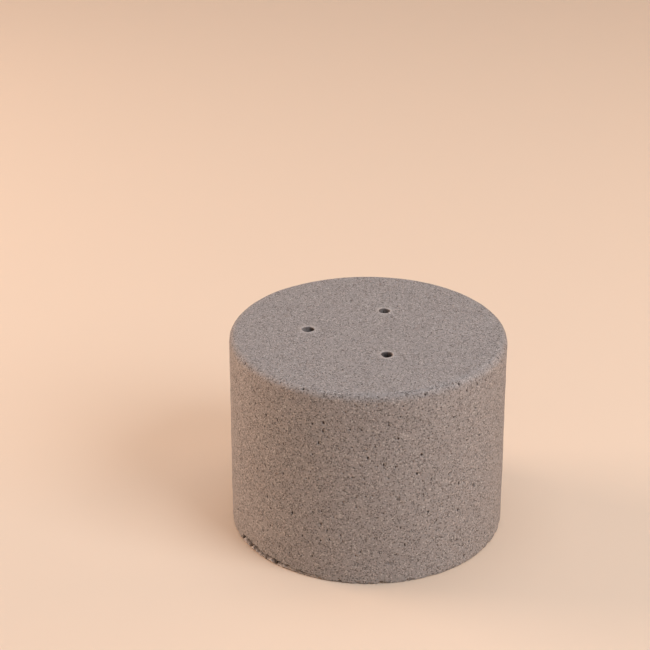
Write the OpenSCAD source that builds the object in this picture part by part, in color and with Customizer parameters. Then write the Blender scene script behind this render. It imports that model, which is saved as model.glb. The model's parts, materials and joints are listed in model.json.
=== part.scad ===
// Floral foam cylinder, millimetres, +Z up.
// The origin is the middle of the flat underside, which rests on the table.
// The foam is one plain block: a round plug cut from a foam bun, with the upper edge rubbed
// round and holes pierced in its top where the flower stems stand.

/* [Foam] */
// Width of the foam across its round side
foam_diameter = 120; // [100:1:200]
// Height of the foam
foam_height = 90; // [70:1:200]
// Radius of the soft upper edge
upper_edge_radius = 3.5; // [0.5:0.5:8]
// Radius of the lower edge, where the foam has only lost its sharp corner
lower_edge_radius = 0.8; // [0.2:0.1:3]

/* [Stem holes] */
// Width of the hole that a stem has pierced
stem_diameter = 5; // [2:0.5:8]
// Depth of the round wall of each hole, along the stem
stem_depth = 45; // [20:1:55]
// Length of the point that the end of the stem has pressed below the round wall
stem_point = 4; // [1:0.5:6]
// Distance from the foam's axis to the mouth of the front hole
front_stem_offset = 24; // [22:1:32]
// Direction of the front hole, in degrees from +X
front_stem_direction = -72; // [-90:1:-55]
// Lean of the front stem away from upright, outwards
front_stem_lean = 16; // [0:1:20]
// Distance from the foam's axis to the mouth of the left hole
left_stem_offset = 26; // [24:1:32]
// Direction of the left hole, in degrees from +X
left_stem_direction = 176; // [160:1:195]
// Lean of the left stem away from upright, outwards
left_stem_lean = 22; // [0:1:24]
// Distance from the foam's axis to the mouth of the back hole
back_stem_offset = 22; // [20:1:32]
// Direction of the back hole, in degrees from +X
back_stem_direction = 70; // [50:1:95]
// Lean of the back stem away from upright, outwards
back_stem_lean = 10; // [0:1:18]

/* [Hidden] */
foam_grey = [0.55, 0.50, 0.46];
foam_radius = foam_diameter / 2;
stem_radius = stem_diameter / 2;
// Each cut starts this far above the top face, so that it opens cleanly
overshoot = 5;
smooth = 128;

// The block's outline from the axis outwards: the two edges are quarter circles
module foam_section() {
    difference() {
        square([foam_radius, foam_height]);
        outer_corner(foam_height, upper_edge_radius, up = true);
        outer_corner(0, lower_edge_radius, up = false);
    }
}

// What a round edge of the given radius takes away from the section's outer corner at height z
module outer_corner(z, radius, up) {
    inward = up ? -radius : radius;
    difference() {
        translate([foam_radius - radius, min(z, z + inward)])
            square([radius, radius]);
        translate([foam_radius - radius, z + inward])
            circle(r = radius, $fn = smooth);
    }
}

// The hole of one stem: a round wall of stem_depth below the top face, then a blunt point
module stem_hole(offset_from_axis, direction, lean) {
    rotate([0, 0, direction])
        translate([offset_from_axis, 0, foam_height])
            rotate([0, lean, 0]) {
                translate([0, 0, -stem_depth])
                    cylinder(r = stem_radius, h = stem_depth + overshoot, $fn = smooth);
                translate([0, 0, -stem_depth - stem_point])
                    cylinder(r1 = stem_radius / 4, r2 = stem_radius, h = stem_point, $fn = smooth);
            }
}

module foam_cylinder() {
    color(foam_grey)
        difference() {
            rotate_extrude($fn = smooth)
                foam_section();
            stem_hole(front_stem_offset, front_stem_direction, front_stem_lean);
            stem_hole(left_stem_offset, left_stem_direction, left_stem_lean);
            stem_hole(back_stem_offset, back_stem_direction, back_stem_lean);
        }
}

foam_cylinder();
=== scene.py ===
"""Floral foam cylinder: one round plug of rigid dry floral foam, with its open cells and pores,
its rubbed upper edge, its broken lower rim and the holes that flower stems have pierced in its top.

Laid out as an add-on and run as a script. Lengths are in metres, +Z is up, and the foam stands on
z = 0 with its axis on the Z axis. Azimuths are in degrees from +X, so -90 faces the camera."""

import json
import math
from collections import namedtuple

import bpy
import numpy as np
from bpy.props import FloatProperty, FloatVectorProperty, IntProperty, PointerProperty
from bpy.types import Operator, Panel, PropertyGroup
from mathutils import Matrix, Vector


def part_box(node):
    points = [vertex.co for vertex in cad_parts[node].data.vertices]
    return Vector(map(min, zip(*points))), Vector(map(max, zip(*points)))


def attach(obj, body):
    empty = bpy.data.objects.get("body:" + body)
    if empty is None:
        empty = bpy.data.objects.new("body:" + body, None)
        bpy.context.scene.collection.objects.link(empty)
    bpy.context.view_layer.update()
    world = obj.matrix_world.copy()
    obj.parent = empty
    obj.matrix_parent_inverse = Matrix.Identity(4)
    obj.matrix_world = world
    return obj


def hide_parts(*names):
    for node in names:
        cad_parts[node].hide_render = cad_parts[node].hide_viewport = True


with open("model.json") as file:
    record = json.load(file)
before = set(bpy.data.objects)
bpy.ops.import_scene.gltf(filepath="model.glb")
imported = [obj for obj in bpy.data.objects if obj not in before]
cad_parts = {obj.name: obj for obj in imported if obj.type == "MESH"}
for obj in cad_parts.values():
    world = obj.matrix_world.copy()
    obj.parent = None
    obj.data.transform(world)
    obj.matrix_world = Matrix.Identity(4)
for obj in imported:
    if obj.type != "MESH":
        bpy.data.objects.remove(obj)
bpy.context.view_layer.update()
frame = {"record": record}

bl_info = {
    "name": "Floral Foam Cylinder",
    "version": (1, 0, 0),
    "blender": (4, 5, 0),
    "location": "View3D > Sidebar > Floral Foam",
    "description": "Makes a round plug of dry floral foam and the plain studio that it stands in",
    "category": "Add Mesh",
}

MM = 0.001
_, FOAM_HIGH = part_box("foam_cylinder")


# ------------------------ sizes and colours

def length(name, default, text, **more):
    """A length property in metres, given here in millimetres."""
    return FloatProperty(name=name, description=text, default=default * MM, unit="LENGTH",
                         precision=5, **more)


def share(name, default, text, most=1.0):
    """A plain number from 0 to its most."""
    return FloatProperty(name=name, description=text, default=default, min=0.0, max=most)


def watts(name, default, text):
    """The power of a lamp."""
    return FloatProperty(name=name, description=text + ", in watts", default=default, min=0.0)


def colour(name, default, text):
    """A colour, as linear red, green and blue."""
    return FloatVectorProperty(name=name, description=text, default=default, size=3,
                               subtype="COLOR", min=0.0, max=1.0)


class FoamBlock(PropertyGroup):
    """The block's own sizes. Its width and height are the CAD block's."""

    radius: FloatProperty(name="Radius", description="Half the width across the round side",
                          default=round(FOAM_HIGH.x, 4), unit="LENGTH", precision=5)
    height: FloatProperty(name="Height", description="From the table to the flat top",
                          default=round(FOAM_HIGH.z, 4), unit="LENGTH", precision=5)
    upper_edge: length("Upper edge", 3.5, "Radius of the rubbed upper edge")
    lower_edge: length("Lower edge", 0.8, "Radius of the lower edge")
    sway: length("Sway", 0.16, "How far the cut surface wanders over a few centimetres")
    ripple: length("Ripple", 0.07, "How far the surface wanders over a few millimetres")
    tooth: length("Tooth", 0.06, "How far it wanders from one cell to the next")
    seed: IntProperty(name="Seed", description="Number that all the random draws start from",
                      default=7, min=0)


class FoamPores(PropertyGroup):
    """The pores: bubbles that the cut has opened, larger than the foam's cells."""

    side_share: share("On the side", 0.38, "Share of the side's tiles that hold a pore")
    top_share: share("On the top", 0.30, "Share of the top's tiles that hold a pore")
    width: length("Width", 0.58, "Usual width of a pore")
    spread: share("Spread", 0.42, "How much the widths differ")
    rise: share("Rise", 1.45, "Usual height of a pore on the side, as a share of its width", 3.0)
    depth: share("Depth", 1.25, "Depth of a pore, as a share of its width", 3.0)


class FoamWear(PropertyGroup):
    """The damage to the lower rim and round the stem holes."""

    crack_depth: length("Crack depth", 3.4, "How far the break under the left side goes in")
    crack_height: length("Crack height", 3.9, "How far the break reaches up the side")
    crumb_size: length("Crumb size", 0.9, "How uneven the crumbs along the break are")
    fray: length("Fray", 0.75, "How far the lower rim has crumbled back elsewhere")
    lip_height: length("Lip height", 0.5, "How far the foam is pushed up round a stem hole")
    lip_width: length("Lip width", 1.3, "How wide that pushed-up ring is")


class FoamColours(PropertyGroup):
    """The foam's colours."""

    skin: colour("Cell walls", (0.324, 0.298, 0.288), "Cut foam between its cells")
    # Painted shade: the dark colour of the open cells' hollows stands for the shade inside them.
    shaded_hollow: colour("Hollows", (0.104, 0.090, 0.083), "Inside of an open cell")
    # Painted shade: the pore colour is dark for the shade deep inside a pore. It also darkens the broken
    # slot and the painted pores.
    pore: colour("Pores", (0.085, 0.069, 0.062), "Inside of a pore")
    # The dust colour is also used for the painted glints, which stand partly for cell walls catching the
    # light.
    dust: colour("Dust", (0.74, 0.68, 0.65), "Loose foam dust and broken cell edges")
    pierced: colour("Pierced wall", (0.170, 0.145, 0.135), "Cells crushed by a stem")


class StudioSettings(PropertyGroup):
    """The plain studio: floor, lamps and camera."""

    floor: colour("Floor", (0.80, 0.645, 0.51), "Plain pale floor")
    floor_radius: FloatProperty(name="Floor radius", description="Flat part of the floor",
                                default=1.3, unit="LENGTH")
    key_power: watts("Key lamp", 15.1, "Power of the large lamp in front on the right")
    fill_power: watts("Fill lamp", 11.0, "Power of the warm lamp on the left")
    edge_power: watts("Edge lamp", 3.8, "Power of the warm lamp on the right")
    top_power: watts("Top lamp", 6.3, "Power of the lamp overhead")
    sky: FloatProperty(name="Sky", description="Strength of the even light all round",
                       default=0.23, min=0.0)
    camera_place: FloatVectorProperty(name="Camera place", description="Where the camera stands",
                                      default=(-0.0186, -0.7745, 0.4636), size=3,
                                      subtype="TRANSLATION", unit="LENGTH")
    camera_tilt: FloatProperty(name="Camera tilt", description="How far the camera looks down",
                               default=math.radians(25.57), subtype="ANGLE", unit="ROTATION")
    lens: FloatProperty(name="Lens", description="Focal length on a 36 mm wide sensor, in mm",
                        default=110.5, min=1.0)


SETTINGS = {
    "foam_block": FoamBlock,
    "foam_pores": FoamPores,
    "foam_wear": FoamWear,
    "foam_colours": FoamColours,
    "foam_studio": StudioSettings,
}


# ------------------------ noise and blending

def step(low, high, value):
    """A soft step: 0 below low, 1 above high, and 3t^2 - 2t^3 of the way t in between."""
    t = np.clip((value - low) / (high - low), 0, 1)
    return t * t * (3 - 2 * t)


def lattice(cells, seed):
    """A number from 0 to 1 for each whole-number point, got by mixing its three coordinates."""
    x, y, z = np.moveaxis(cells.astype(np.int64), -1, 0)
    mixed = (x * 73856093 ^ y * 19349663 ^ z * 83492791 ^ seed * 39916801) & 0xFFFFFFFF
    mixed = ((mixed ^ (mixed >> 13)) * 1274126177) & 0xFFFFFFFF
    return ((mixed ^ (mixed >> 16)) & 0xFFFF) / 0xFFFF


def noise(places, size, seed):
    """Smooth noise from -1 to 1: the lattice numbers at the corners of cubes of this size,
    blended across each cube by a soft step along each axis."""
    scaled = places / size
    low = np.floor(scaled)
    t = step(0, 1, scaled - low)
    total = np.zeros(places.shape[:-1])
    for corner in np.ndindex(2, 2, 2):
        weight = np.prod(np.where(corner, t, 1 - t), axis=-1)
        total += weight * lattice(low + corner, seed)
    return 2 * total - 1


# The sizes of the lumps in the cut surface: its sway, its ripple and its tooth
RELIEF_LUMPS = (26 * MM, 5.5 * MM, 1.7 * MM)


def relief(block, places):
    """How far the cut surface stands proud of the true block: three sizes of noise added up."""
    heights = (block.sway, block.ripple, block.tooth)
    return sum(height * noise(places, lumps, block.seed + which)
               for which, (height, lumps) in enumerate(zip(heights, RELIEF_LUMPS)))


# ------------------------ the broken lower rim

# A break in the lower rim: the azimuths where it starts and ends, and its height up the side and
# its depth, both as shares of the wear settings.
Break = namedtuple("Break", "start end height depth")
BREAKS = (Break(-157, -121, 1.0, 1.0), Break(-126, -109, 0.5, 0.4), Break(36, 54, 0.7, 0.7))

# A nick in the lower rim: its azimuth, its width, its height and its depth, in millimetres.
Nick = namedtuple("Nick", "azimuth width height depth")
NICKS = (Nick(-102, 1.5, 0.9, 0.9), Nick(-99, 0.9, 0.6, 0.5), Nick(-85, 2.2, 1.0, 1.0),
         Nick(-74, 1.2, 0.9, 0.8), Nick(-12, 2.4, 1.3, 1.0), Nick(104, 3.2, 1.6, 1.2),
         Nick(150, 1.8, 1.2, 0.9))

# How far the foam has to fall back for its broken value to reach 1, where the painted shade of the break
# is darkest
FULL_SHADE_FALL = 1.2 * MM

# Azimuths between which the mesh is finer near the lower rim
FINE_SPANS = ((-160, -66), (30, 60))


def fallen_back(block, wear, places, azimuth, rise):
    """How far the lower rim has fallen back at each place, in metres, and how dusty it is there.

    rise is the distance from the rim: up the side above 0, in under the block below 0. A break is
    a slot under a ragged line. Along its lower side stands a lip of pale crumbs, which has fallen
    back only a little and here and there is missing, and the slot's floor slopes from it down to
    the full depth. A nick is a rounded dip. Fray is noise that only takes away."""
    ground = places * (1, 1, 0)

    def lumpy(where, size, which):
        return noise(where, size * MM, block.seed + 10 + which)

    under = step(-3.2 * MM, -0.6 * MM, rise)
    depth = wear.fray * np.maximum(lumpy(places, 2.3, 0) - 0.15, 0)
    depth *= step(-1.6 * MM, 0, rise) * (1 - step(0.2 * MM, 1.8 * MM, rise))
    dusty = np.zeros_like(depth)
    for one in BREAKS:
        along = (azimuth - one.start) / (one.end - one.start)
        ends = step(0, 0.08, along) * (1 - step(0.9, 1, along))
        ragged = 1 + 0.22 * lumpy(ground, 3.1, 1) + 0.16 * lumpy(ground, 1.2, 2)
        line = wear.crack_height * one.height * (1 - 0.5 * along) * ragged * ends
        lip_line = line * (0.40 + 0.40 * lumpy(ground, 1.9, 3))
        slot = step(0, 0.25 * MM, line - rise)
        lip = step(-0.5 * MM, 0.2 * MM, lip_line - rise) * step(0, 0.5 * MM, lip_line)
        hollowed = wear.crack_depth * one.depth * (0.8 + 0.3 * lumpy(places, 1.5, 4)) * ends
        crumbs = wear.crumb_size * (0.32 + 0.45 * lumpy(places, 0.95, 5))
        fall = slot * (hollowed * (1 - lip) + crumbs * lip)
        depth = np.maximum(depth, fall * under)
        dusty = np.maximum(dusty, lip * slot * under)
    for one in NICKS:
        aside = (azimuth - one.azimuth) * math.radians(1) * block.radius
        dip = np.exp(-(aside / (one.width * MM / 2)) ** 2 - (rise / (one.height * MM)) ** 2)
        depth = np.maximum(depth, one.depth * MM * dip)
    return depth, dusty


# ------------------------ the two main surfaces

class Wrap:
    """The outside of the block, from the rim of its flat top down to the outer part of its
    underside. The outline, a quarter circle, a straight side, a quarter circle and a straight
    stretch inwards, is carried round the axis. A place on it has a row, counted down the outline,
    and a column, counted round the axis from +X. Neither has to be a whole number."""

    columns = 400
    upper_rows, side_rows, lower_rows, under_rows = 6, 91, 3, 5
    under_width = 4.6 * MM
    inner_ring = 7 * MM
    core_inset, core_height = 6 * MM, 2.2 * MM

    def __init__(self, block, wear):
        self.block, self.wear = block, wear
        radius, height = block.radius, block.height
        upper, lower = block.upper_edge, block.lower_edge
        over = np.linspace(math.pi / 2, 0, self.upper_rows + 1)
        under = np.linspace(0, -math.pi / 2, self.lower_rows + 1)
        down = np.linspace(height - upper, lower, self.side_rows + 1)[1:-1]
        inwards = np.linspace(0, self.under_width, self.under_rows + 1)[1:]
        # Each piece: how far out and how far up its arc's middle is, or where a straight piece
        # runs, then the arc's radius and the way that it faces
        pieces = ((radius - upper, height - upper, upper, over), (radius, down, 0, 0 * down),
                  (radius - lower, lower, lower, under),
                  (radius - lower - inwards, 0, 0, 0 * inwards - math.pi / 2))
        self.normals = np.concatenate([
            np.stack([np.cos(turn), np.sin(turn)], 1) for *_, turn in pieces])
        self.outline = np.concatenate([
            np.stack([out + edge * np.cos(turn), up + edge * np.sin(turn)], 1)
            for out, up, edge, turn in pieces])
        self.rows = len(self.outline) - 1
        steps = np.linalg.norm(np.diff(self.outline, axis=0), axis=1)
        self.lengths = np.concatenate([[0], np.cumsum(steps)])
        middle = self.upper_rows + self.side_rows + self.lower_rows / 2
        self.rim_length = np.interp(middle, np.arange(self.rows + 1), self.lengths)
        self.cell = (height - upper - lower) / self.side_rows, 2 * math.pi * radius / self.columns

    def along(self, rows):
        """The length down the outline at each row."""
        return np.interp(rows, np.arange(self.rows + 1), self.lengths)

    def row_at(self, height):
        """The row at a height on the straight side."""
        return self.upper_rows + (self.block.height - self.block.upper_edge - height) / self.cell[0]

    def places(self, rows, columns, sunk=0.0):
        """The points at these rows and columns, sunk below the surface by this much, and their
        wear values from 0 to 1: how broken each one is, which the foam's material paints as shade, and
        how dusty."""
        counted = np.arange(self.rows + 1)
        reach, height = (np.interp(rows, counted, v) for v in self.outline.T)
        out, up = (np.interp(rows, counted, v) for v in self.normals.T)
        angle = 2 * math.pi * np.asarray(columns) / self.columns
        around = np.stack([np.cos(angle), np.sin(angle), np.zeros_like(angle)], -1)
        places = reach[..., None] * around
        places[..., 2] = height
        normals = out[..., None] * around
        normals[..., 2] = up
        azimuth = (np.degrees(angle) + 180) % 360 - 180
        back, dusty = fallen_back(self.block, self.wear, places, azimuth,
                                  self.rim_length - self.along(rows))
        places += normals * (relief(self.block, places) - sunk)[..., None]
        # What has broken away falls back towards a ring inside the block, so no faces cross.
        ring = (self.block.radius - self.core_inset) * around
        ring[..., 2] = self.core_height
        inwards = ring - places
        places += inwards * (back / np.linalg.norm(inwards, axis=-1))[..., None]
        places[..., 2] = np.maximum(places[..., 2], 0)
        return places, np.stack([np.clip(back / FULL_SHADE_FALL, 0, 1), dusty], -1)


class TopDisc:
    """The flat top inside the rubbed edge: a square grid pressed into a disc, so that each square
    ring of the grid becomes a circle."""

    def __init__(self, wrap):
        self.block = wrap.block
        self.cells = wrap.columns // 4
        self.radius = wrap.outline[0, 0]
        self.cell = (2 * self.radius / self.cells,) * 2

    def places(self, rows, columns, sunk=0.0):
        """The points at these rows and columns, sunk below the surface by this much."""
        places = on_disc(rows, columns, self.cells, self.radius)
        places[..., 2] = self.block.height
        places[..., 2] += relief(self.block, places) - sunk
        return places, NO_WEAR_OR_SHADE

    def grid_at(self, x, y):
        """The row and column of a point of the top: the pressing undone."""
        reach, angle = math.hypot(x, y) / self.radius, math.atan2(y, x)
        quarter = round(angle / (math.pi / 2))
        rest = (angle - quarter * math.pi / 2) / (math.pi / 4) * reach
        across, up = ((reach, rest), (-rest, reach), (-reach, -rest), (rest, -reach))[quarter % 4]
        return (1 - up) * self.cells / 2, (across + 1) * self.cells / 2


def edge_of(grid):
    """Which points of a grid lie on its edge."""
    edge = np.ones(grid.shape, bool)
    edge[1:-1, 1:-1] = False
    return edge


def on_disc(rows, columns, cells, radius):
    """The places, at z = 0, of these rows and columns of a square grid of cells that is pressed
    into a disc. Rows count towards -Y and columns towards +X."""
    places = np.zeros(np.shape(rows) + (3,))
    places[..., 0], places[..., 1] = pressed(2 * columns / cells - 1, 1 - 2 * rows / cells)
    return places * radius


def disc_grid(cells, radius):
    """A square grid of this many cells pressed into a disc: its rows, its columns, its places at
    z = 0, and which of its points lie on its edge."""
    rows, columns = np.indices((cells + 1,) * 2)
    return rows, columns, on_disc(rows, columns, cells, radius), edge_of(rows)


def column_round(places, count):
    """Which of so many columns round the axis, counted from +X, each place lies in."""
    angle = np.arctan2(places[..., 1], places[..., 0])
    return np.round(angle / (2 * math.pi) * count).astype(int) % count


def pressed(x, y):
    """Presses the square from -1 to 1 into the unit disc. The larger of the two coordinates
    becomes the radius, and the other one's share of it becomes the angle off that axis."""
    wide = np.abs(x) >= np.abs(y)
    reach = np.where(wide, x, y)
    aside = np.where(wide, y, x) / np.where(reach == 0, 1, reach) * math.pi / 4
    angle = np.where(wide, aside, math.pi / 2 - aside)
    return reach * np.cos(angle), reach * np.sin(angle)


# ------------------------ gathering the mesh

CUT, PORE, PIERCED = range(3)
NO_WEAR_OR_SHADE = (0.0, 0.0)


class Gathered:
    """The vertices and faces made so far, as blocks of arrays."""

    def __init__(self):
        self.places, self.worn, self.count = [], [], 0
        self.corners, self.maps, self.slots = [], [], []

    def points(self, places, worn=NO_WEAR_OR_SHADE):
        """Adds points with their wear and shade values (broken and dusty) and returns their indices, in
        the same arrangement.
        """
        shape = places.shape[:-1]
        self.places.append(places.reshape(-1, 3))
        self.worn.append(np.broadcast_to(worn, shape + (2,)).reshape(-1, 2))
        first = self.count
        self.count += len(self.places[-1])
        return np.arange(first, self.count).reshape(shape)

    def faces(self, corners, flat, slot):
        """Adds faces, all with the same number of corners. flat holds each corner's place on the
        flat map, in metres."""
        sides = corners.shape[-1]
        self.corners.append(corners.reshape(-1, sides))
        self.maps.append(flat.reshape(-1, sides, 2))
        self.slots.append(np.full(len(self.corners[-1]), slot))

    def mesh(self, name, page):
        """The finished mesh, without the points that no face uses, with its flat map, its values
        and smooth faces."""
        mesh = bpy.data.meshes.new(name)
        sides = np.concatenate([np.full(len(c), c.shape[1]) for c in self.corners])
        used, loops = np.unique(np.concatenate([c.ravel() for c in self.corners]), return_inverse=True)
        mesh.vertices.add(len(used))
        mesh.vertices.foreach_set("co", np.concatenate(self.places)[used].astype(np.float32).ravel())
        mesh.loops.add(len(loops))
        mesh.loops.foreach_set("vertex_index", loops.astype(np.int32))
        mesh.polygons.add(len(sides))
        starts = np.concatenate([[0], np.cumsum(sides)[:-1]])
        mesh.polygons.foreach_set("loop_start", starts.astype(np.int32))
        mesh.polygons.foreach_set("material_index", np.concatenate(self.slots).astype(np.int32))
        mesh.polygons.foreach_set("use_smooth", np.ones(len(sides), bool))
        flat = np.concatenate([m.reshape(-1, 2) for m in self.maps]) / page
        mesh.uv_layers.new(name="OFBake").data.foreach_set("uv", flat.astype(np.float32).ravel())
        for label, values in zip(("broken", "dusty"), np.concatenate(self.worn)[used].T):
            held = mesh.attributes.new(label, "FLOAT", "POINT")
            held.data.foreach_set("value", values.astype(np.float32))
        mesh.update(calc_edges=True)
        if mesh.validate():
            raise RuntimeError(f"{name} has faces that Blender had to mend")
        return mesh


def quads(index):
    """The corners of each cell of an index grid, anticlockwise from outside, where rows count
    down and columns count to the right."""
    return np.stack([index[:-1, :-1], index[1:, :-1], index[1:, 1:], index[:-1, 1:]], -1)


def loop_of(tall, wide):
    """The offsets (row, column) round a block of cells, anticlockwise from its upper left."""
    down, across = np.arange(tall), np.arange(wide)
    return np.concatenate([
        np.stack([down, 0 * down], 1), np.stack([0 * across + tall, across], 1),
        np.stack([tall - down, 0 * down + wide], 1), np.stack([0 * across, wide - across], 1)])


def bands(rings):
    """The faces between neighbouring closed rings of points. rings has the shape (holes, rings,
    points), with the outer ring first and its points anticlockwise from outside."""
    outer, inner = rings[:, :-1], rings[:, 1:]
    return np.stack([outer, np.roll(outer, -1, 2), np.roll(inner, -1, 2), inner], -1)


def on_map(form, flat):
    """The faces that quads or bands forms, for places on the flat map."""
    return np.stack([form(flat[..., k]) for k in (0, 1)], -1)


# ------------------------ the flat map

class FlatMap:
    """Where each part of the surface lies on the flat square page, in metres: the side as three
    strips, the top beside the third, and the small underside and stem holes below."""

    gap = 4 * MM
    cuts = (220, 353, 487, 620)
    under_scale = 0.4
    holes_height = 52 * MM
    tube_width = 18 * MM

    def __init__(self, wrap):
        self.wrap = wrap
        strip_width = (self.cuts[2] - self.cuts[1]) * wrap.cell[1]
        strip_height = wrap.lengths[-1] + wrap.inner_ring
        right, second = strip_width + 2 * self.gap, strip_height + 2 * self.gap
        third = second + 2 * wrap.block.radius + self.gap
        self.strips = np.array([(self.gap, self.gap), (right, self.gap), (self.gap, second)])
        self.top = (right + wrap.block.radius, second + wrap.block.radius)
        small = wrap.block.radius * self.under_scale
        self.under = (self.gap + small, third + small)
        self.holes = (2 * self.gap + 2 * small, third)
        self.page = third + self.holes_height

    def strip(self, rows, columns):
        """A strip's places for faces with these corners. A face lies on the strip of its first
        corner, and its other columns are counted on from there."""
        first = columns[..., :1] % self.wrap.columns
        first = np.where(first < self.cuts[0], first + self.wrap.columns, first)
        turn = self.wrap.columns
        columns = first + (columns - first + turn / 2) % turn - turn / 2
        which = np.clip(np.searchsorted(self.cuts, first[..., 0] + 0.5) - 1, 0, 2)
        start = np.asarray(self.cuts)[which][..., None]
        x = self.strips[which][..., 0, None] + (columns - start) * self.wrap.cell[1]
        y = self.strips[which][..., 1, None] + self.wrap.lengths[-1] + self.wrap.inner_ring
        y = y - self.wrap.along(rows)
        return np.stack([x, y], -1)

    def disc(self, places, centre, scale=1.0):
        """The top or the underside, seen straight on."""
        return places[..., :2] * scale + centre

    def tube(self, which, around, down):
        """A stem hole's wall, unrolled."""
        around, down = np.broadcast_arrays(around, down)
        left = self.holes[0] + which * (self.tube_width + self.gap)
        return np.stack([left + around * self.tube_width, self.holes[1] + down], -1)


# ------------------------ pores

# The side of a square tile, in cells of the grid
TILE = 5

# A pore taller than this many cells takes three rows of them, and any other takes two
TALL_PORE = 1.35

# How far a pore's middle wanders off the middle of its cells
WANDER = 0.22

# A pore's rings, from its rim inwards: their size as shares of the rim's, and their depth as
# shares of the pore's
RING_SIZES = np.array([1.0, 0.84, 0.5])
RING_DEPTHS = np.array([0.04, 0.55, 0.94])


def draw_pores(rng, chart, free, how_many, pores, rise):
    """Draws pores for the free cells of a surface: at most one in each tile of TILE by TILE
    cells, so no two can meet. Returns, as arrays, each pore's first row and column, how many rows
    of cells it takes, its middle, its width and its height."""
    tile_rows, tile_columns = (count // TILE for count in free.shape)
    high, wide = np.divmod(np.arange(tile_rows * tile_columns), tile_columns)
    draws = rng.random((len(high), 6))
    width = pores.width * np.exp(pores.spread * 1.6 * (draws[:, 1] + draws[:, 2] - 1))
    tall = width * (1 + (rise - 1) * 2 * draws[:, 3])
    block_rows = np.where(tall > TALL_PORE * chart.cell[0], 3, 2)
    corner_row = high * TILE + np.floor(draws[:, 4] * (TILE + 1 - block_rows)).astype(int)
    corner_column = wide * TILE + np.floor(draws[:, 5] * (TILE - 1)).astype(int)
    keep = draws[:, 0] < how_many
    for down, across in np.ndindex(3, 2):
        inside = np.minimum(corner_row + down, len(free) - 1), corner_column + across
        keep &= free[inside]
    middle = rng.uniform(-WANDER, WANDER, (len(high), 2)) + np.stack(
        [corner_row + block_rows / 2, corner_column + 1], 1)
    return [v[keep] for v in (corner_row, corner_column, block_rows, middle, width, tall)]


def cut_pores(made, chart, index, taken, drawn, flat, rng, depth):
    """Cuts pores into a surface. Each one takes a block of cells out of the grid and puts rings of
    points in its place: a ragged rim on the surface, a wall that goes down inside it, a floor and
    the floor's middle. The rings are ellipses round the pore's middle, in rows and columns."""
    corner_row, corner_column, block_rows, middle, width, tall = drawn
    for rows_tall in (2, 3):
        some = block_rows == rows_tall
        if not some.any():
            continue
        offsets = loop_of(rows_tall, 2)
        loop_rows = corner_row[some, None] + offsets[:, 0]
        loop_columns = corner_column[some, None] + offsets[:, 1]
        outer = index[loop_rows, loop_columns % index.shape[1]]
        taken[corner_row[some, None] + np.arange(rows_tall).repeat(2),
              (corner_column[some, None] + np.tile([0, 1], rows_tall)) % taken.shape[1]] = True
        count = len(offsets)
        turn = np.arctan2(rows_tall / 2 - offsets[:, 0], offsets[:, 1] - 1)
        ragged = 1 + rng.uniform(-0.2, 0.2, (some.sum(), 1, count))
        room = rows_tall / 2 - 0.3, 0.72
        half = np.minimum(np.stack([tall[some], width[some]], 1) / chart.cell / 2, room)
        middle_row, middle_column = middle[some].T
        reach = half[:, :, None, None] * RING_SIZES[:, None]
        rows = middle_row[:, None, None] - reach[:, 0] * ragged * np.sin(turn)
        columns = middle_column[:, None, None] + reach[:, 1] * ragged * np.cos(turn)
        deep = depth * width[some] * rng.uniform(0.45, 1.15, some.sum())
        around = made.points(*chart.places(rows, columns, deep[:, None, None] * RING_DEPTHS[:, None]))
        rings = np.concatenate([outer[:, None], around], 1)
        floor = made.points(*chart.places(middle_row, middle_column, deep))
        rows = np.concatenate([loop_rows[:, None], rows], 1)
        columns = np.concatenate([loop_columns[:, None], columns], 1)
        band, band_flat = bands(rings), flat(bands(rows), bands(columns))
        made.faces(band[:, :1], band_flat[:, :1], CUT)
        made.faces(band[:, 1:], band_flat[:, 1:], PORE)
        ends = ((rings[:, -1], floor), (rows[:, -1], middle_row), (columns[:, -1], middle_column))
        fans = [np.stack([ring, np.roll(ring, -1, 1), np.broadcast_to(tip[:, None], ring.shape)], -1)
                for ring, tip in ends]
        made.faces(fans[0], flat(fans[1], fans[2]), PORE)


# ------------------------ stem holes

StemHole = namedtuple("StemHole", "mouth axis radius depth")

# The side of the block of top cells that a stem hole takes
HOLE_CELLS = 12

# The length of a stem hole's blunt point, and how much narrower its end is
POINT_LENGTH = 4 * MM
POINT_NARROWING = 0.75

# How far each ring of the lip has come from the block of cells to the hole's rim
LIP_RINGS = (0.3, 0.52, 0.7, 0.83, 0.92, 1.0)

# The depths of the tube's upper rings, and how many more there are down to the point
UPPER_DEPTHS = np.array([0.3, 0.8, 1.4, 2.2, 3.2, 4.4]) * MM
LOWER_START = 5.6 * MM
LOWER_COUNT = 27


def stem_holes(block):
    """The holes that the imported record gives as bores: the mouth is where the hole's axis meets
    the flat top, and the depth is the length of the round wall."""
    found = []
    for mount in frame["record"]["mounts"]:
        if mount["kind"] == "bore":
            place, axis = np.array(mount["pos_m"]), np.array(mount["axis"])
            axis = axis / np.linalg.norm(axis)
            mouth = place + axis * (block.height - place[2]) / axis[2]
            found.append(StemHole(mouth, axis, mount["dims"]["r_mm"] * MM,
                                  mount["dims"]["length_mm"] * MM))
    if not found:
        raise RuntimeError("the packed record has no stem holes")
    return found


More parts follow.
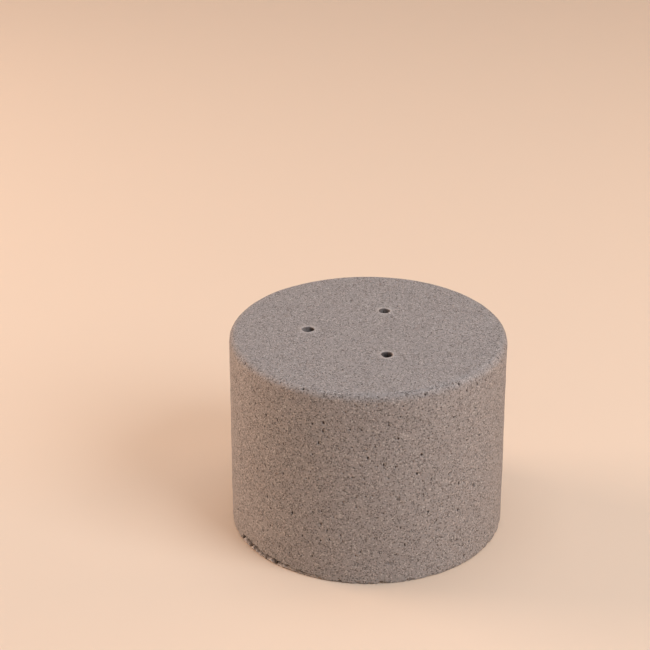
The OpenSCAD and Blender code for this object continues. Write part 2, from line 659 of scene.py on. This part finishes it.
def pierce(made, top, wear, index, taken, hole, which, flat_map):
    """Pierces one stem hole in the top. Rings close in from the block of cells to the hole's rim,
    over a low lip of pushed-up crumbs. The rim is the ellipse in which the leaning cylinder meets
    the flat top."""
    block, seed = top.block, top.block.seed + 20 + which
    row, column = (round(place) - HOLE_CELLS // 2 for place in top.grid_at(*hole.mouth[:2]))
    taken[row:row + HOLE_CELLS, column:column + HOLE_CELLS] = True
    offsets = loop_of(HOLE_CELLS, HOLE_CELLS)
    outer = index[row + offsets[:, 0], column + offsets[:, 1]]
    edge, _ = top.places(row + offsets[:, 0], column + offsets[:, 1])
    away = (edge - hole.mouth)[:, :2]
    spoke = np.zeros_like(edge)
    spoke[:, :2] = away / np.linalg.norm(away, axis=1)[:, None]
    lean = spoke @ hole.axis
    ragged = 1 + 0.07 * noise(spoke * hole.radius + hole.mouth, 1.4 * MM, seed)
    reach = hole.radius / np.sqrt(1 - lean ** 2) * ragged
    rim = hole.mouth + spoke * reach[:, None]
    lip = edge + (rim - edge) * np.reshape(LIP_RINGS, (-1, 1, 1))
    past_rim = np.linalg.norm((lip - hole.mouth)[..., :2], axis=-1) - reach
    pushed = np.exp(-(past_rim / wear.lip_width) ** 2) * (1 - 0.75 * step(0.35 * MM, 0, past_rim))
    crumbly = 0.55 + 0.45 * noise(lip, 1.8 * MM, seed + 5) + 0.35 * noise(lip, 0.8 * MM, seed + 6)
    lip[..., 2] = block.height + relief(block, lip * (1, 1, 0) + (0, 0, block.height))
    lip[..., 2] += wear.lip_height * pushed * crumbly
    # Near the rim, the broken value darkens the foam as painted shade and the dusty value pales its
    # crumbs
    crumbled = np.stack([0.4 * pushed, pushed], -1)
    rings = np.concatenate([outer[None], made.points(lip, crumbled)])[None]
    flat = flat_map.disc(np.concatenate([edge[None], lip])[None], flat_map.top)
    made.faces(bands(rings), on_map(bands, flat), CUT)
    add_tube(made, hole, rings[0, -1], spoke, lean, reach, which, seed, flat_map)


def add_tube(made, hole, rim, spoke, lean, reach, which, seed, flat_map):
    """The wall of a stem hole, from its rim down the leaning axis. Near the top the rings level
    out to the flat top's ellipse, and further down they are circles square to the axis. The first
    stretch has as many points round it as the rim, and the rest has half as many. The end narrows
    to a blunt point. spoke, lean and reach hold each rim point's level direction, how far that
    direction leans along the axis, and its distance from the mouth."""
    square_off = (spoke - lean[:, None] * hole.axis) * reach[:, None]
    slant = (lean * reach)[:, None] * hole.axis
    around = np.arange(len(rim) + 1) / len(rim)

    def rings(down, every):
        """The tube's points at these depths, at every so many of the rim's points."""
        narrow = 1 - POINT_NARROWING * step(hole.depth, hole.depth + POINT_LENGTH, down)
        level = 1 - step(0, 3 * MM, down)
        places = (hole.mouth - hole.axis * down[:, None, None]
                  + square_off[::every] * narrow[:, None, None]
                  + slant[::every] * level[:, None, None])
        scuff = 1 + 0.05 * noise(places * (1, 1, 0.3), 1.3 * MM, seed + 8)
        inwards = hole.mouth - hole.axis * down[:, None, None] - places
        return places + inwards * (1 - scuff)[..., None]

    def add_wall(points, down, turn):
        """The faces between rings of points, at these depths and turns."""
        closed = np.concatenate([points, points[:, :1]], 1)
        flat = flat_map.tube(which, turn, down[:, None])
        made.faces(quads(closed)[..., ::-1], on_map(quads, flat)[..., ::-1, :], PIERCED)

    lower_depths = np.append(np.linspace(LOWER_START, hole.depth, LOWER_COUNT),
                             hole.depth + POINT_LENGTH * np.array([0.4, 0.75, 1.0]))
    upper = np.concatenate([rim[None], made.points(rings(UPPER_DEPTHS, 1))])
    lower = made.points(rings(lower_depths, 2))
    tip = made.points((hole.mouth - hole.axis * (hole.depth + POINT_LENGTH * 1.06))[None])
    add_wall(upper, np.append(0, UPPER_DEPTHS), around)
    add_wall(lower, lower_depths, around[::2])

    joined = np.append(upper[-1], upper[-1, 0])
    below = np.append(lower[0], lower[0, 0])
    five = np.stack([joined[:-1:2], joined[1::2], joined[2::2], below[1:], below[:-1]], -1)
    turns = np.stack([around[:-1:2], around[1::2], around[2::2], around[2::2], around[:-1:2]], -1)
    downs = np.array([UPPER_DEPTHS[-1]] * 3 + [lower_depths[0]] * 2)
    made.faces(five, flat_map.tube(which, turns, downs), PIERCED)

    last = np.append(lower[-1], lower[-1, 0])
    fan = np.stack([last[:-1], last[1:], np.broadcast_to(tip, len(last) - 1)], -1)
    turns = np.stack([around[:-1:2], around[2::2], around[1::2]], -1)
    downs = lower_depths[-1] + POINT_LENGTH * np.array([0, 0, 0.3])
    made.faces(fan, flat_map.tube(which, turns, downs), PIERCED)


# ------------------------ the whole block

# How many times finer the mesh is in the fine spans, each way
FINER = 3

# The fine spans reach this far up the side
FINE_HEIGHT = 6 * MM


def refine(made, wrap, index, taken, first_row, last_row, first_column, last_column, strip):
    """Swaps a block of the side's cells for FINER by FINER times as many. The cells just outside
    it take the new points on their shared edges as extra corners, so the surface stays closed."""
    rows = np.arange(first_row * FINER, last_row * FINER + 1) / FINER
    columns = np.arange(first_column * FINER, last_column * FINER + 1) / FINER
    grid_rows, grid_columns = np.meshgrid(rows, columns, indexing="ij")
    whole = (np.arange(len(rows)) % FINER == 0)[:, None] & (np.arange(len(columns)) % FINER == 0)
    shared = whole & edge_of(whole)
    fine = np.empty(whole.shape, int)
    turn = wrap.columns
    fine[shared] = index[grid_rows[shared].astype(int), grid_columns[shared].astype(int) % turn]
    fine[~shared] = made.points(*wrap.places(grid_rows[~shared], grid_columns[~shared]))
    made.faces(quads(fine), strip(quads(grid_rows), quads(grid_columns)), CUT)
    taken[first_row:last_row, np.arange(first_column, last_column) % turn] = True

    # Each side of the block: its points, the way out from it, and the way its points are taken
    sides = ((np.s_[0], -1, 0, 1), (np.s_[-1], 1, 0, -1),
             (np.s_[:, 0], 0, -1, -1), (np.s_[:, -1], 0, 1, 1))
    for border, row_out, column_out, way in sides:
        edge, edge_rows, edge_columns = fine[border], grid_rows[border], grid_columns[border]
        shared = np.arange(0, len(edge) - 1, FINER)[:, None] + np.arange(FINER + 1)[::way]
        ends = shared[:, [-1, 0]]
        rows = np.concatenate([edge_rows[ends] + row_out, edge_rows[shared]], 1)
        columns = np.concatenate([edge_columns[ends] + column_out, edge_columns[shared]], 1)
        far = index[rows[:, :2].astype(int), columns[:, :2].astype(int) % turn]
        made.faces(np.concatenate([far, edge[shared]], 1), strip(rows, columns), CUT)
        taken[rows.min(1).astype(int), columns.min(1).astype(int) % turn] = True


def add_side(made, wrap, pores, rng, flat_map):
    """The side, with both edges and the outer part of the underside. Returns its grid of points."""
    turn = wrap.columns
    rows, columns = np.indices((wrap.rows + 1, turn + 1))
    side = made.points(*wrap.places(rows[:, :-1], columns[:, :-1]))
    taken = np.zeros((wrap.rows, turn), bool)
    for span in FINE_SPANS:
        first, last = (round(azimuth % 360 / 360 * turn) for azimuth in span)
        refine(made, wrap, side, taken, int(wrap.row_at(FINE_HEIGHT)), wrap.rows - 2, first, last,
               flat_map.strip)
    free = ~taken
    free[:2] = free[wrap.upper_rows + wrap.side_rows - 2:] = False
    drawn = draw_pores(rng, wrap, free, pores.side_share, pores, pores.rise)
    cut_pores(made, wrap, side, taken, drawn, flat_map.strip, rng, pores.depth)
    closed = np.concatenate([side, side[:, :1]], 1)
    made.faces(quads(closed)[~taken], flat_map.strip(quads(rows)[~taken], quads(columns)[~taken]), CUT)
    return side


def add_top(made, wrap, pores, wear, rng, rim, flat_map):
    """The flat top, with its stem holes. rim holds the points of the side's first row."""
    top = TopDisc(wrap)
    rows, columns, places, edge = disc_grid(top.cells, top.radius)
    disc = np.empty(rows.shape, int)
    disc[~edge] = made.points(top.places(rows, columns)[0][~edge])
    disc[edge] = rim[column_round(places[edge], wrap.columns)]
    taken = np.zeros((top.cells,) * 2, bool)
    for which, hole in enumerate(stem_holes(wrap.block)):
        pierce(made, top, wear, disc, taken, hole, which, flat_map)

    def flat(face_rows, face_columns):
        return flat_map.disc(top.places(face_rows, face_columns)[0], flat_map.top)

    free = ~(taken | edge_of(taken))
    drawn = draw_pores(rng, top, free, pores.top_share, pores, 1.0)
    cut_pores(made, top, disc, taken, drawn, flat, rng, pores.depth)
    made.faces(quads(disc)[~taken], flat(quads(rows)[~taken], quads(columns)[~taken]), CUT)


def add_underside(made, wrap, rim, flat_map):
    """The underside: half as many columns on an inner ring, then a disc like the top's. rim holds
    the points of the side's last row."""
    turn, half = wrap.columns, wrap.columns // 2
    inner_radius = wrap.outline[-1, 0] - wrap.inner_ring

    def hollowed(places):
        """These places, lifted off the floor where the cut surface falls back."""
        return places + np.maximum(-relief(wrap.block, places), 0)[..., None] * (0, 0, 1)

    angles = 2 * math.pi * np.arange(half) / half
    ring = made.points(hollowed(
        inner_radius * np.stack([np.cos(angles), np.sin(angles), 0 * angles], -1)))
    outer, inwards = np.append(rim, rim[0]), np.append(ring, ring[0])
    five = np.stack([outer[:-1:2], inwards[:-1], inwards[1:], outer[2::2], outer[1::2]], -1)
    columns = np.arange(0, turn, 2)[:, None] + np.array([0, 0, 2, 2, 1])
    flat = flat_map.strip(np.full(columns.shape, wrap.rows), columns)
    flat[:, 1:3, 1] -= wrap.inner_ring
    made.faces(five, flat, CUT)
    rows, columns, places, edge = disc_grid(half // 4, inner_radius)
    base = np.empty(rows.shape, int)
    base[~edge] = made.points(hollowed(places)[~edge])
    base[edge] = ring[column_round(places[edge], half)]
    flat = flat_map.disc(places * (-1, 1, 1), flat_map.under, flat_map.under_scale)
    made.faces(quads(base)[..., ::-1], on_map(quads, flat)[..., ::-1, :], CUT)


def foam_mesh(block, pores, wear):
    """The whole foam as one closed mesh."""
    rng = np.random.default_rng(block.seed)
    made, wrap = Gathered(), Wrap(block, wear)
    flat_map = FlatMap(wrap)
    side = add_side(made, wrap, pores, rng, flat_map)
    add_top(made, wrap, pores, wear, rng, side[0], flat_map)
    add_underside(made, wrap, side[-1], flat_map)
    return made.mesh("floral_foam_cylinder", flat_map.page)


# ------------------------ shader helpers

def add(tree, kind, inputs=None, **settings):
    """Adds a shader node, with its settings, and sets or links its inputs."""
    node = tree.nodes.new("ShaderNode" + kind)
    for name, value in settings.items():
        setattr(node, name, value)
    for key, value in (inputs or {}).items():
        if isinstance(value, bpy.types.NodeSocket):
            tree.links.new(value, node.inputs[key])
        else:
            node.inputs[key].default_value = value
    return node


def maths(tree, operation, a, b=0.0, c=0.0):
    """One number worked out from up to three others."""
    return add(tree, "Math", {0: a, 1: b, 2: c}, operation=operation).outputs[0]


def soft_step(tree, value, low, high, from_value=0.0, to_value=1.0):
    """A soft step of a value from low to high."""
    return add(tree, "MapRange", {"Value": value, "From Min": low, "From Max": high,
                                  "To Min": from_value, "To Max": to_value},
               interpolation_type="SMOOTHSTEP").outputs[0]


def blend(tree, factor, a, b, kind="MIX"):
    """Two colours mixed by a factor."""
    return add(tree, "Mix", {0: factor, 6: a, 7: b}, data_type="RGBA", blend_type=kind).outputs[2]


def opaque(rgb):
    """A colour property as red, green, blue and alpha."""
    return (*rgb, 1.0)


def shader_group(name, inputs, outputs):
    """An empty node group with named number or vector sockets, its input node and its output."""
    tree = bpy.data.node_groups.new(name, "ShaderNodeTree")
    for label, kind, default in inputs:
        socket = tree.interface.new_socket(label, in_out="INPUT", socket_type="NodeSocket" + kind)
        if default is not None:
            socket.default_value = default
    for label in outputs:
        tree.interface.new_socket(label, in_out="OUTPUT", socket_type="NodeSocketFloat")
    return tree, tree.nodes.new("NodeGroupInput").outputs, tree.nodes.new("NodeGroupOutput").inputs


def use_group(tree, group, **inputs):
    """Puts a node group into a material. An underscore stands for a space in its inputs' names."""
    return add(tree, "Group", {k.replace("_", " "): v for k, v in inputs.items()},
               node_tree=group).outputs


# ------------------------ shared effects

def foam_cells_group():
    """Foam cells, cut open: a cell pattern of Cell Size, in which each cell is one small bubble.
    Smooth noise with lumps of Lump Size, read at each bubble's middle and shifted by a random
    number of its own, says how high the cut has met it. A low bubble lies wide open, one near the
    middle level has a small opening, and a high one is skinned over and dusty. The openings and
    the skins are round, as wide as the level makes them. Hollow is 1 in the middle of an open
    bubble, Pale is 1 on a skin, and Height is the surface's height: skins bulge and hollows sink.
    Openness moves the level at which the bubbles lie open."""
    tree, given, out = shader_group("Foam cells", [
        ("Vector", "Vector", None), ("Cell Size", "Float", 0.50 * MM), ("Lump Size", "Float", 0.50 * MM),
        ("Rise Stretch", "Float", 0.85), ("Openness", "Float", 0.0)], ["Hollow", "Pale", "Height"])
    stretch = add(tree, "CombineXYZ", {0: 1.0, 1: 1.0, 2: given["Rise Stretch"]}).outputs[0]
    place = add(tree, "VectorMath", {0: given["Vector"], 1: stretch}, operation="MULTIPLY").outputs[0]
    per_metre = maths(tree, "DIVIDE", 1.0, given["Cell Size"])
    cell = add(tree, "TexVoronoi", {"Vector": place, "Scale": per_metre}, feature="F1")
    drawn = add(tree, "SeparateColor", {0: cell.outputs["Color"]}).outputs
    lumps = add(tree, "TexNoise", {
        "Vector": cell.outputs["Position"], "Scale": maths(tree, "DIVIDE", 1.0, given["Lump Size"]),
        "Detail": 0.0})
    own_shift = maths(tree, "SUBTRACT", drawn[0], 0.5)
    shifted = maths(tree, "MULTIPLY_ADD", own_shift, 0.36, lumps.outputs[0])
    level = maths(tree, "SUBTRACT", shifted, given["Openness"])
    usual_level, soft_rim = 0.5, 0.30
    lower = maths(tree, "SUBTRACT", usual_level, level)
    higher = maths(tree, "SUBTRACT", level, usual_level)
    opening = maths(tree, "MULTIPLY_ADD", lower, 1.1, 0.42)
    skin = maths(tree, "MULTIPLY_ADD", higher, 1.5, 0.22)
    from_middle = cell.outputs["Distance"]
    bowl = soft_step(tree, maths(tree, "SUBTRACT", opening, from_middle), 0.0, soft_rim)
    # The open middle of each bubble, which the materials paint dark as its shade
    shaded_hollow = maths(tree, "MULTIPLY", bowl, soft_step(tree, level, 0.66, 0.34))
    skinned = soft_step(tree, maths(tree, "SUBTRACT", skin, from_middle), 0.0, soft_rim)
    tree.links.new(shaded_hollow, out["Hollow"])
    tree.links.new(skinned, out["Pale"])
    height = maths(tree, "MULTIPLY_ADD", skinned, 0.3, maths(tree, "MULTIPLY", shaded_hollow, -1.0))
    tree.links.new(height, out["Height"])
    return tree


def specks_group():
    """Specks: small round spots, at most one in each cell of a coarse cell pattern, with Share of
    the cells holding one. Mask is 1 inside a speck."""
    tree, given, out = shader_group("Specks", [
        ("Vector", "Vector", None), ("Spacing", "Float", 3 * MM), ("Radius", "Float", 0.3 * MM),
        ("Rise Stretch", "Float", 1.0), ("Share", "Float", 0.5)], ["Mask"])
    per_metre = maths(tree, "DIVIDE", 1.0, given["Spacing"])
    scale = add(tree, "CombineXYZ", {0: per_metre, 1: per_metre,
                                     2: maths(tree, "MULTIPLY", per_metre, given["Rise Stretch"])})
    scaled = add(tree, "VectorMath", {0: given["Vector"], 1: scale.outputs[0]}, operation="MULTIPLY")
    spot = add(tree, "TexVoronoi", {"Vector": scaled.outputs[0], "Scale": 1.0}, feature="F1")
    drawn = add(tree, "SeparateColor", {0: spot.outputs["Color"]}).outputs
    reach = maths(tree, "MULTIPLY", maths(tree, "MULTIPLY", given["Radius"], per_metre),
                  maths(tree, "MULTIPLY_ADD", drawn[1], 0.9, 0.55))
    inside = soft_step(tree, maths(tree, "DIVIDE", spot.outputs["Distance"], reach), 1.0, 0.6)
    there = maths(tree, "LESS_THAN", drawn[0], given["Share"])
    mask = maths(tree, "MULTIPLY", inside, there)
    tree.links.new(mask, out["Mask"])
    return tree


def mottle_group():
    """Uneven tone: noise of two sizes, one of a few centimetres drawn out along the rise and one
    of a few millimetres, added up around 0.5."""
    tree, given, out = shader_group("Mottle", [("Vector", "Vector", None)], ["Tone"])
    drawn_out = add(tree, "VectorMath", {0: given["Vector"], 1: (1, 1, 0.6)}, operation="MULTIPLY")
    broad = add(tree, "TexNoise", {"Vector": drawn_out.outputs[0], "Scale": 32.0, "Detail": 2.0})
    close = add(tree, "TexNoise", {"Vector": given["Vector"], "Scale": 260.0, "Detail": 2.0})
    half_close = maths(tree, "MULTIPLY", close.outputs[0], 0.5)
    tree.links.new(maths(tree, "MULTIPLY_ADD", broad.outputs[0], 0.5, half_close), out["Tone"])
    return tree


# ------------------------ materials

def new_material(name):
    """An empty node material, with its shader linked and the foam's own coordinates."""
    material = bpy.data.materials.new(name)
    material.use_nodes = True
    tree = material.node_tree
    tree.nodes.clear()
    shader = add(tree, "BsdfPrincipled", {"Roughness": 0.95, "IOR": 1.35, "Specular IOR Level": 0.25})
    result = add(tree, "OutputMaterial", {"Surface": shader.outputs[0]})
    result.is_active_output = True
    return material, tree, shader, add(tree, "TexCoord").outputs["Object"]


def finish_material(tree, shader, base, height, distance, roughness=None):
    """Gives a shader its colour, its bump of this height in metres and its roughness."""
    tree.links.new(base, shader.inputs["Base Color"])
    bump = add(tree, "Bump", {"Strength": 1.0, "Distance": distance, "Height": height})
    tree.links.new(bump.outputs[0], shader.inputs["Normal"])
    if roughness is not None:
        tree.links.new(roughness, shader.inputs["Roughness"])


def cut_foam_material(colours, groups):
    """Cut foam: pale cell walls, open cells painted dark for their shade, small pores painted as dark
    dots of shade, pale glints that are partly painted highlight and partly dust, and a slightly uneven
    tone. Where the mesh's broken value rises, more cells lie open and the colour is darker, as painted
    shade in the break's slot and at the stem holes' rims, and where its dusty value rises, it is paler."""
    material, tree, shader, place = new_material("Cut foam")
    # The broken value darkens the colour as painted shade in the break's slot and at the stem holes'
    # rims
    broken = add(tree, "Attribute", attribute_name="broken").outputs["Fac"]
    dusty = add(tree, "Attribute", attribute_name="dusty").outputs["Fac"]
    cells = use_group(tree, groups["cells"], Vector=place,
                      Openness=maths(tree, "MULTIPLY", broken, 0.06))
    # Painted pores: dark dots for the shade inside pores too small for the mesh
    pores = use_group(tree, groups["specks"], Vector=place, Spacing=3.3 * MM, Radius=0.32 * MM,
                      Rise_Stretch=0.7, Share=0.34)
    # Painted glints: pale specks for cell walls catching the light, and partly also loose dust
    glints = use_group(tree, groups["specks"], Vector=place, Spacing=2.4 * MM, Radius=0.22 * MM,
                       Share=0.26)
    tone = use_group(tree, groups["mottle"], Vector=place)["Tone"]

    base = blend(tree, soft_step(tree, tone, 0.3, 0.7, 0.0, 0.10), opaque(colours.skin),
                 opaque(colours.shaded_hollow))
    # Painted shade: the hollows, the broken value and the painted pores darken the colour. The skins and
    # the dusty value pale it with dust, and the glints are partly painted highlight.
    layers = (
        (cells["Pale"], 0.42, colours.dust), (cells["Hollow"], 0.80, colours.shaded_hollow),
        (broken, 0.85, colours.pore), (dusty, 0.45, colours.dust),
        (pores["Mask"], 0.72, colours.pore), (glints["Mask"], 0.70, colours.dust))
    for mask, most, rgb in layers:
        base = blend(tree, maths(tree, "MULTIPLY", mask, most), base, opaque(rgb))

    height = maths(tree, "MULTIPLY_ADD", pores["Mask"], -1.0, cells["Height"])
    height = maths(tree, "MULTIPLY_ADD", glints["Mask"], 0.6, height)
    rough = soft_step(tree, cells["Hollow"], 0.0, 1.0, 0.88, 1.0)
    finish_material(tree, shader, base, height, 0.16 * MM, rough)
    return material


def pore_material(colours, groups):
    """The inside of a pore, painted dark for the shade inside it: a bubble wall with fine cells opening
    into it.
    """
    material, tree, shader, place = new_material("Pore wall")
    cells = use_group(tree, groups["cells"], Vector=place, Lump_Size=0.35 * MM, Cell_Size=0.25 * MM)
    # Painted shade: the pore's wall takes the darker pierced colour, and its cells' hollows take the
    # pore colour
    base = blend(tree, cells["Hollow"], opaque(colours.pierced), opaque(colours.pore))
    finish_material(tree, shader, base, cells["Height"], 0.08 * MM)
    return material


def pierced_material(colours, groups):
    """The wall of a stem hole: cells crushed flat and scored along the stem's way in."""
    material, tree, shader, place = new_material("Pierced wall")
    cells = use_group(tree, groups["cells"], Vector=place, Lump_Size=0.5 * MM, Rise_Stretch=0.3)
    tone = use_group(tree, groups["mottle"], Vector=place)["Tone"]
    base = blend(tree, soft_step(tree, tone, 0.3, 0.7, 0.0, 0.4), opaque(colours.pierced),
                 opaque(colours.skin))
    # Painted shade in the open cells' hollows
    base = blend(tree, cells["Hollow"], base, opaque(colours.pore))
    finish_material(tree, shader, base, cells["Height"], 0.10 * MM)
    return material


def floor_material(studio):
    """The studio floor: one pale matt colour."""
    material, tree, shader, _ = new_material("Studio floor")
    shader.inputs["Base Color"].default_value = opaque(studio.floor)
    return material


# ------------------------ operators

# The slightly cool tint of the main lamp and of the even light all round
DAYLIGHT = (0.86, 0.925, 1.0)

# A lamp of the studio: its name, which is also the start of its power's name, its place in
# metres, its width in metres and its tint.
StudioLamp = namedtuple("StudioLamp", "name place width tint")
LAMPS = (StudioLamp("key", (0.95, -0.75, 1.05), 0.9, DAYLIGHT),
         StudioLamp("fill", (-1.1, 0.35, 0.40), 0.6, (1.0, 0.74, 0.58)),
         StudioLamp("edge", (1.15, 0.30, 0.40), 0.6, (1.0, 0.60, 0.32)),
         StudioLamp("top", (0.0, 0.1, 1.5), 1.0, (0.98, 0.94, 0.95)))


def show(name, data):
    """Puts a mesh, a light or a camera into the scene as an object at the origin."""
    piece = bpy.data.objects.new(name, data)
    bpy.context.scene.collection.objects.link(piece)
    return piece


class FOAM_OT_make_cylinder(Operator):
    """Makes the foam cylinder in place of the plain CAD block"""

    bl_idname = "foam.make_cylinder"
    bl_label = "Make Foam Cylinder"

    def execute(self, context):
        scene = context.scene
        mesh = foam_mesh(scene.foam_block, scene.foam_pores, scene.foam_wear)
        groups = {"cells": foam_cells_group(), "specks": specks_group(), "mottle": mottle_group()}
        for make in (cut_foam_material, pore_material, pierced_material):
            mesh.materials.append(make(scene.foam_colours, groups))
        piece = show("floral_foam_cylinder", mesh)
        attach(piece, "root")
        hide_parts("foam_cylinder")
        return {"FINISHED"}


class FOAM_OT_make_studio(Operator):
    """Makes the plain floor, the soft lamps and the camera"""

    bl_idname = "foam.make_studio"
    bl_label = "Make Studio"

    def execute(self, context):
        studio = context.scene.foam_studio
        floor = show("studio_floor", floor_mesh(studio))
        floor.data.materials.append(floor_material(studio))
        target = Vector((0, 0, context.scene.foam_block.height / 2))
        for one in LAMPS:
            add_lamp(one, target, getattr(studio, one.name + "_power"))
        sky = bpy.data.worlds.new("studio_sky")
        sky.use_nodes = True
        background = sky.node_tree.nodes["Background"]
        background.inputs["Color"].default_value = opaque(DAYLIGHT)
        background.inputs["Strength"].default_value = studio.sky
        context.scene.world = sky
        context.scene.view_settings.view_transform = "Standard"
        camera = show("camera", bpy.data.cameras.new("camera"))
        camera.location = studio.camera_place
        camera.rotation_euler = (math.pi / 2 - studio.camera_tilt, 0, 0)
        camera.data.sensor_width = 36
        camera.data.lens = studio.lens
        camera.data.clip_start, camera.data.clip_end = 0.01, 20
        context.scene.camera = camera
        return {"FINISHED"}


def floor_mesh(studio):
    """A round floor that curves up into a low wall: a flat stretch, a quarter circle and a
    straight stretch up, carried round the axis, with all its faces looking inwards."""
    bend, wall, around = 0.5, 0.6, 96
    turn = np.linspace(0, math.pi / 2, 13)
    flat_rings = [0.02, 0.3]
    reach = np.concatenate([flat_rings, studio.floor_radius + bend * np.sin(turn),
                            [studio.floor_radius + bend]])
    height = np.concatenate([[0, 0], bend - bend * np.cos(turn), [bend + wall]])
    angles = 2 * math.pi * np.arange(around) / around
    places = np.stack([np.outer(reach, np.cos(angles)), np.outer(reach, np.sin(angles)),
                       np.outer(height, np.ones(around))], -1)
    index = np.arange(places[..., 0].size).reshape(places.shape[:2])
    faces = quads(np.concatenate([index, index[:, :1]], 1)).reshape(-1, 4)
    mesh = bpy.data.meshes.new("studio_floor")
    mesh.from_pydata(places.reshape(-1, 3).tolist(), [], faces.tolist() + [index[0].tolist()])
    mesh.shade_smooth()
    return mesh


def add_lamp(one, target, power):
    """A square soft lamp that faces the target."""
    light = bpy.data.lights.new(one.name + "_lamp", "AREA")
    light.size, light.energy, light.color = one.width, power, one.tint
    holder = show(light.name, light)
    holder.location = one.place
    holder.rotation_euler = (Vector(one.place) - target).to_track_quat("Z", "Y").to_euler()


class FOAM_PT_sidebar(Panel):
    """The foam's settings, and a button for each thing to make"""

    bl_label = "Floral Foam"
    bl_space_type = "VIEW_3D"
    bl_region_type = "UI"
    bl_category = "Floral Foam"

    def draw(self, context):
        for group in SETTINGS:
            box = self.layout.box()
            for name in SETTINGS[group].__annotations__:
                box.prop(getattr(context.scene, group), name)
        for operator in OPERATORS:
            self.layout.operator(operator.bl_idname)


OPERATORS = (FOAM_OT_make_cylinder, FOAM_OT_make_studio)
CLASSES = (*SETTINGS.values(), *OPERATORS, FOAM_PT_sidebar)


def register():
    for one in CLASSES:
        bpy.utils.register_class(one)
    for name, group in SETTINGS.items():
        setattr(bpy.types.Scene, name, PointerProperty(type=group))


def unregister():
    for name in SETTINGS:
        delattr(bpy.types.Scene, name)
    for one in reversed(CLASSES):
        bpy.utils.unregister_class(one)


def main():
    """Makes everything."""
    register()
    bpy.ops.foam.make_cylinder()
    bpy.ops.foam.make_studio()


if __name__ == "__main__":
    main()
